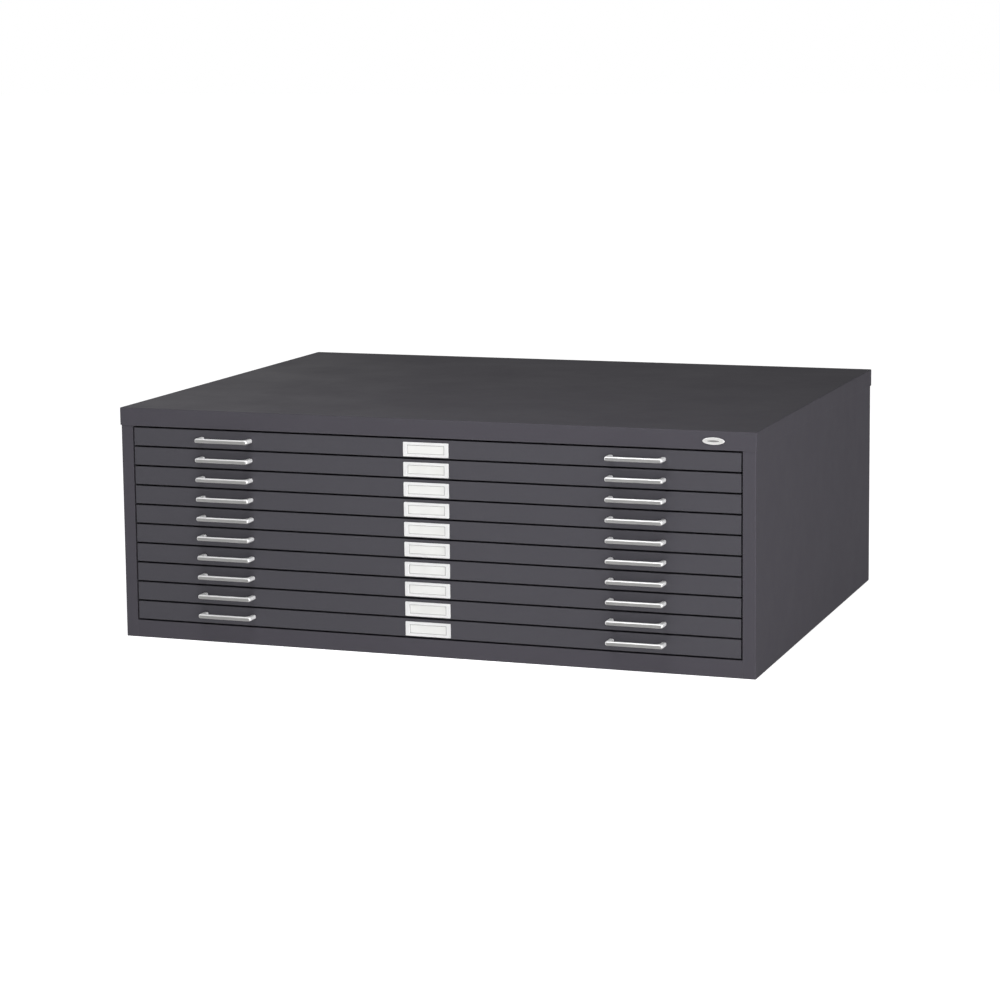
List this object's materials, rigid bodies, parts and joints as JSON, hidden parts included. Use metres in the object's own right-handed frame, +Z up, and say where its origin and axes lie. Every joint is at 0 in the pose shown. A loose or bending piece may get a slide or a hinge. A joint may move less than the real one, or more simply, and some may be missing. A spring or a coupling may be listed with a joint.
{
  "type": "flat file cabinet",
  "caption": "Low, wide steel flat file cabinet with shallow roller drawers for large sheets; each drawer has bar pulls and a label holder, under a separate flat cap.",
  "frame": {"origin": "centre of the footprint, pulls included, on the floor", "axes": "+Z up; the drawers open towards -Y; +X is to the right of someone facing the drawers"},
  "size_m": [1.178, 0.9208, 0.4191],
  "materials": {
    "case_paint": "satin",
    "drawer_paint": "satin",
    "satin_chrome": "satin",
    "badge_metal": "satin",
    "zinc_steel": "satin",
    "roller_steel": "polished"
  },
  "bodies": {
    "case": {"top_cap": "case_paint", "left_side_panel": "case_paint", "right_side_panel": "case_paint", "back_panel": "case_paint", "bottom_pan": "case_paint", "front_bottom_rail": "case_paint", "front_top_rail": "case_paint", "runner_uprights": "zinc_steel", "runner_channels": "zinc_steel", "badge": "badge_metal"},
    "drawer_01": {"drawer_01_front": "drawer_paint", "drawer_01_tray": "drawer_paint", "drawer_01_hardware": "satin_chrome"},
    "drawer_01_front_wheels": {"drawer_01_front_rollers": "roller_steel"},
    "drawer_01_rear_wheels": {"drawer_01_rear_rollers": "roller_steel"},
    "drawer_02": {"drawer_02_front": "drawer_paint", "drawer_02_tray": "drawer_paint", "drawer_02_hardware": "satin_chrome"},
    "drawer_02_front_wheels": {"drawer_02_front_rollers": "roller_steel"},
    "drawer_02_rear_wheels": {"drawer_02_rear_rollers": "roller_steel"},
    "drawer_03": {"drawer_03_front": "drawer_paint", "drawer_03_tray": "drawer_paint", "drawer_03_hardware": "satin_chrome"},
    "drawer_03_front_wheels": {"drawer_03_front_rollers": "roller_steel"},
    "drawer_03_rear_wheels": {"drawer_03_rear_rollers": "roller_steel"},
    "drawer_04": {"drawer_04_front": "drawer_paint", "drawer_04_tray": "drawer_paint", "drawer_04_hardware": "satin_chrome"},
    "drawer_04_front_wheels": {"drawer_04_front_rollers": "roller_steel"},
    "drawer_04_rear_wheels": {"drawer_04_rear_rollers": "roller_steel"},
    "drawer_05": {"drawer_05_front": "drawer_paint", "drawer_05_tray": "drawer_paint", "drawer_05_hardware": "satin_chrome"},
    "drawer_05_front_wheels": {"drawer_05_front_rollers": "roller_steel"},
    "drawer_05_rear_wheels": {"drawer_05_rear_rollers": "roller_steel"},
    "drawer_06": {"drawer_06_front": "drawer_paint", "drawer_06_tray": "drawer_paint", "drawer_06_hardware": "satin_chrome"},
    "drawer_06_front_wheels": {"drawer_06_front_rollers": "roller_steel"},
    "drawer_06_rear_wheels": {"drawer_06_rear_rollers": "roller_steel"},
    "drawer_07": {"drawer_07_front": "drawer_paint", "drawer_07_tray": "drawer_paint", "drawer_07_hardware": "satin_chrome"},
    "drawer_07_front_wheels": {"drawer_07_front_rollers": "roller_steel"},
    "drawer_07_rear_wheels": {"drawer_07_rear_rollers": "roller_steel"},
    "drawer_08": {"drawer_08_front": "drawer_paint", "drawer_08_tray": "drawer_paint", "drawer_08_hardware": "satin_chrome"},
    "drawer_08_front_wheels": {"drawer_08_front_rollers": "roller_steel"},
    "drawer_08_rear_wheels": {"drawer_08_rear_rollers": "roller_steel"},
    "drawer_09": {"drawer_09_front": "drawer_paint", "drawer_09_tray": "drawer_paint", "drawer_09_hardware": "satin_chrome"},
    "drawer_09_front_wheels": {"drawer_09_front_rollers": "roller_steel"},
    "drawer_09_rear_wheels": {"drawer_09_rear_rollers": "roller_steel"},
    "drawer_10": {"drawer_10_front": "drawer_paint", "drawer_10_tray": "drawer_paint", "drawer_10_hardware": "satin_chrome"},
    "drawer_10_front_wheels": {"drawer_10_front_rollers": "roller_steel"},
    "drawer_10_rear_wheels": {"drawer_10_rear_rollers": "roller_steel"}
  },
  "joints": [
    {"name": "drawer_01_slide", "type": "slide", "parent": "case", "child": "drawer_01", "axis": [0, -1, 0], "range_m": [0, 0.61]},
    {"name": "drawer_01_front_wheels_spin", "type": "hinge", "parent": "case", "child": "drawer_01_front_wheels", "pos_m": [0, -0.40445, 0.36615], "axis": [1, 0, 0], "continuous": true},
    {"name": "drawer_01_rear_wheels_spin", "type": "hinge", "parent": "drawer_01", "child": "drawer_01_rear_wheels", "pos_m": [0, 0.38155, 0.36615], "axis": [1, 0, 0], "continuous": true},
    {"name": "drawer_02_slide", "type": "slide", "parent": "case", "child": "drawer_02", "axis": [0, -1, 0], "range_m": [0, 0.61]},
    {"name": "drawer_02_front_wheels_spin", "type": "hinge", "parent": "case", "child": "drawer_02_front_wheels", "pos_m": [0, -0.40445, 0.3309], "axis": [1, 0, 0], "continuous": true},
    {"name": "drawer_02_rear_wheels_spin", "type": "hinge", "parent": "drawer_02", "child": "drawer_02_rear_wheels", "pos_m": [0, 0.38155, 0.3309], "axis": [1, 0, 0], "continuous": true},
    {"name": "drawer_03_slide", "type": "slide", "parent": "case", "child": "drawer_03", "axis": [0, -1, 0], "range_m": [0, 0.61]},
    {"name": "drawer_03_front_wheels_spin", "type": "hinge", "parent": "case", "child": "drawer_03_front_wheels", "pos_m": [0, -0.40445, 0.29565], "axis": [1, 0, 0], "continuous": true},
    {"name": "drawer_03_rear_wheels_spin", "type": "hinge", "parent": "drawer_03", "child": "drawer_03_rear_wheels", "pos_m": [0, 0.38155, 0.29565], "axis": [1, 0, 0], "continuous": true},
    {"name": "drawer_04_slide", "type": "slide", "parent": "case", "child": "drawer_04", "axis": [0, -1, 0], "range_m": [0, 0.61]},
    {"name": "drawer_04_front_wheels_spin", "type": "hinge", "parent": "case", "child": "drawer_04_front_wheels", "pos_m": [0, -0.40445, 0.2604], "axis": [1, 0, 0], "continuous": true},
    {"name": "drawer_04_rear_wheels_spin", "type": "hinge", "parent": "drawer_04", "child": "drawer_04_rear_wheels", "pos_m": [0, 0.38155, 0.2604], "axis": [1, 0, 0], "continuous": true},
    {"name": "drawer_05_slide", "type": "slide", "parent": "case", "child": "drawer_05", "axis": [0, -1, 0], "range_m": [0, 0.61]},
    {"name": "drawer_05_front_wheels_spin", "type": "hinge", "parent": "case", "child": "drawer_05_front_wheels", "pos_m": [0, -0.40445, 0.22515], "axis": [1, 0, 0], "continuous": true},
    {"name": "drawer_05_rear_wheels_spin", "type": "hinge", "parent": "drawer_05", "child": "drawer_05_rear_wheels", "pos_m": [0, 0.38155, 0.22515], "axis": [1, 0, 0], "continuous": true},
    {"name": "drawer_06_slide", "type": "slide", "parent": "case", "child": "drawer_06", "axis": [0, -1, 0], "range_m": [0, 0.61]},
    {"name": "drawer_06_front_wheels_spin", "type": "hinge", "parent": "case", "child": "drawer_06_front_wheels", "pos_m": [0, -0.40445, 0.1899], "axis": [1, 0, 0], "continuous": true},
    {"name": "drawer_06_rear_wheels_spin", "type": "hinge", "parent": "drawer_06", "child": "drawer_06_rear_wheels", "pos_m": [0, 0.38155, 0.1899], "axis": [1, 0, 0], "continuous": true},
    {"name": "drawer_07_slide", "type": "slide", "parent": "case", "child": "drawer_07", "axis": [0, -1, 0], "range_m": [0, 0.61]},
    {"name": "drawer_07_front_wheels_spin", "type": "hinge", "parent": "case", "child": "drawer_07_front_wheels", "pos_m": [0, -0.40445, 0.15465], "axis": [1, 0, 0], "continuous": true},
    {"name": "drawer_07_rear_wheels_spin", "type": "hinge", "parent": "drawer_07", "child": "drawer_07_rear_wheels", "pos_m": [0, 0.38155, 0.15465], "axis": [1, 0, 0], "continuous": true},
    {"name": "drawer_08_slide", "type": "slide", "parent": "case", "child": "drawer_08", "axis": [0, -1, 0], "range_m": [0, 0.61]},
    {"name": "drawer_08_front_wheels_spin", "type": "hinge", "parent": "case", "child": "drawer_08_front_wheels", "pos_m": [0, -0.40445, 0.1194], "axis": [1, 0, 0], "continuous": true},
    {"name": "drawer_08_rear_wheels_spin", "type": "hinge", "parent": "drawer_08", "child": "drawer_08_rear_wheels", "pos_m": [0, 0.38155, 0.1194], "axis": [1, 0, 0], "continuous": true},
    {"name": "drawer_09_slide", "type": "slide", "parent": "case", "child": "drawer_09", "axis": [0, -1, 0], "range_m": [0, 0.61]},
    {"name": "drawer_09_front_wheels_spin", "type": "hinge", "parent": "case", "child": "drawer_09_front_wheels", "pos_m": [0, -0.40445, 0.08415], "axis": [1, 0, 0], "continuous": true},
    {"name": "drawer_09_rear_wheels_spin", "type": "hinge", "parent": "drawer_09", "child": "drawer_09_rear_wheels", "pos_m": [0, 0.38155, 0.08415], "axis": [1, 0, 0], "continuous": true},
    {"name": "drawer_10_slide", "type": "slide", "parent": "case", "child": "drawer_10", "axis": [0, -1, 0], "range_m": [0, 0.61]},
    {"name": "drawer_10_front_wheels_spin", "type": "hinge", "parent": "case", "child": "drawer_10_front_wheels", "pos_m": [0, -0.40445, 0.0489], "axis": [1, 0, 0], "continuous": true},
    {"name": "drawer_10_rear_wheels_spin", "type": "hinge", "parent": "drawer_10", "child": "drawer_10_rear_wheels", "pos_m": [0, 0.38155, 0.0489], "axis": [1, 0, 0], "continuous": true}
  ],
  "couplings": [
    {"joint": "drawer_01_front_wheels_spin", "follows": "drawer_01_slide", "rad_per_m": 105.26},
    {"joint": "drawer_01_rear_wheels_spin", "follows": "drawer_01_slide", "rad_per_m": 105.26},
    {"joint": "drawer_02_front_wheels_spin", "follows": "drawer_02_slide", "rad_per_m": 105.26},
    {"joint": "drawer_02_rear_wheels_spin", "follows": "drawer_02_slide", "rad_per_m": 105.26},
    {"joint": "drawer_03_front_wheels_spin", "follows": "drawer_03_slide", "rad_per_m": 105.26},
    {"joint": "drawer_03_rear_wheels_spin", "follows": "drawer_03_slide", "rad_per_m": 105.26},
    {"joint": "drawer_04_front_wheels_spin", "follows": "drawer_04_slide", "rad_per_m": 105.26},
    {"joint": "drawer_04_rear_wheels_spin", "follows": "drawer_04_slide", "rad_per_m": 105.26},
    {"joint": "drawer_05_front_wheels_spin", "follows": "drawer_05_slide", "rad_per_m": 105.26},
    {"joint": "drawer_05_rear_wheels_spin", "follows": "drawer_05_slide", "rad_per_m": 105.26},
    {"joint": "drawer_06_front_wheels_spin", "follows": "drawer_06_slide", "rad_per_m": 105.26},
    {"joint": "drawer_06_rear_wheels_spin", "follows": "drawer_06_slide", "rad_per_m": 105.26},
    {"joint": "drawer_07_front_wheels_spin", "follows": "drawer_07_slide", "rad_per_m": 105.26},
    {"joint": "drawer_07_rear_wheels_spin", "follows": "drawer_07_slide", "rad_per_m": 105.26},
    {"joint": "drawer_08_front_wheels_spin", "follows": "drawer_08_slide", "rad_per_m": 105.26},
    {"joint": "drawer_08_rear_wheels_spin", "follows": "drawer_08_slide", "rad_per_m": 105.26},
    {"joint": "drawer_09_front_wheels_spin", "follows": "drawer_09_slide", "rad_per_m": 105.26},
    {"joint": "drawer_09_rear_wheels_spin", "follows": "drawer_09_slide", "rad_per_m": 105.26},
    {"joint": "drawer_10_front_wheels_spin", "follows": "drawer_10_slide", "rad_per_m": 105.26},
    {"joint": "drawer_10_rear_wheels_spin", "follows": "drawer_10_slide", "rad_per_m": 105.26}
  ]
}
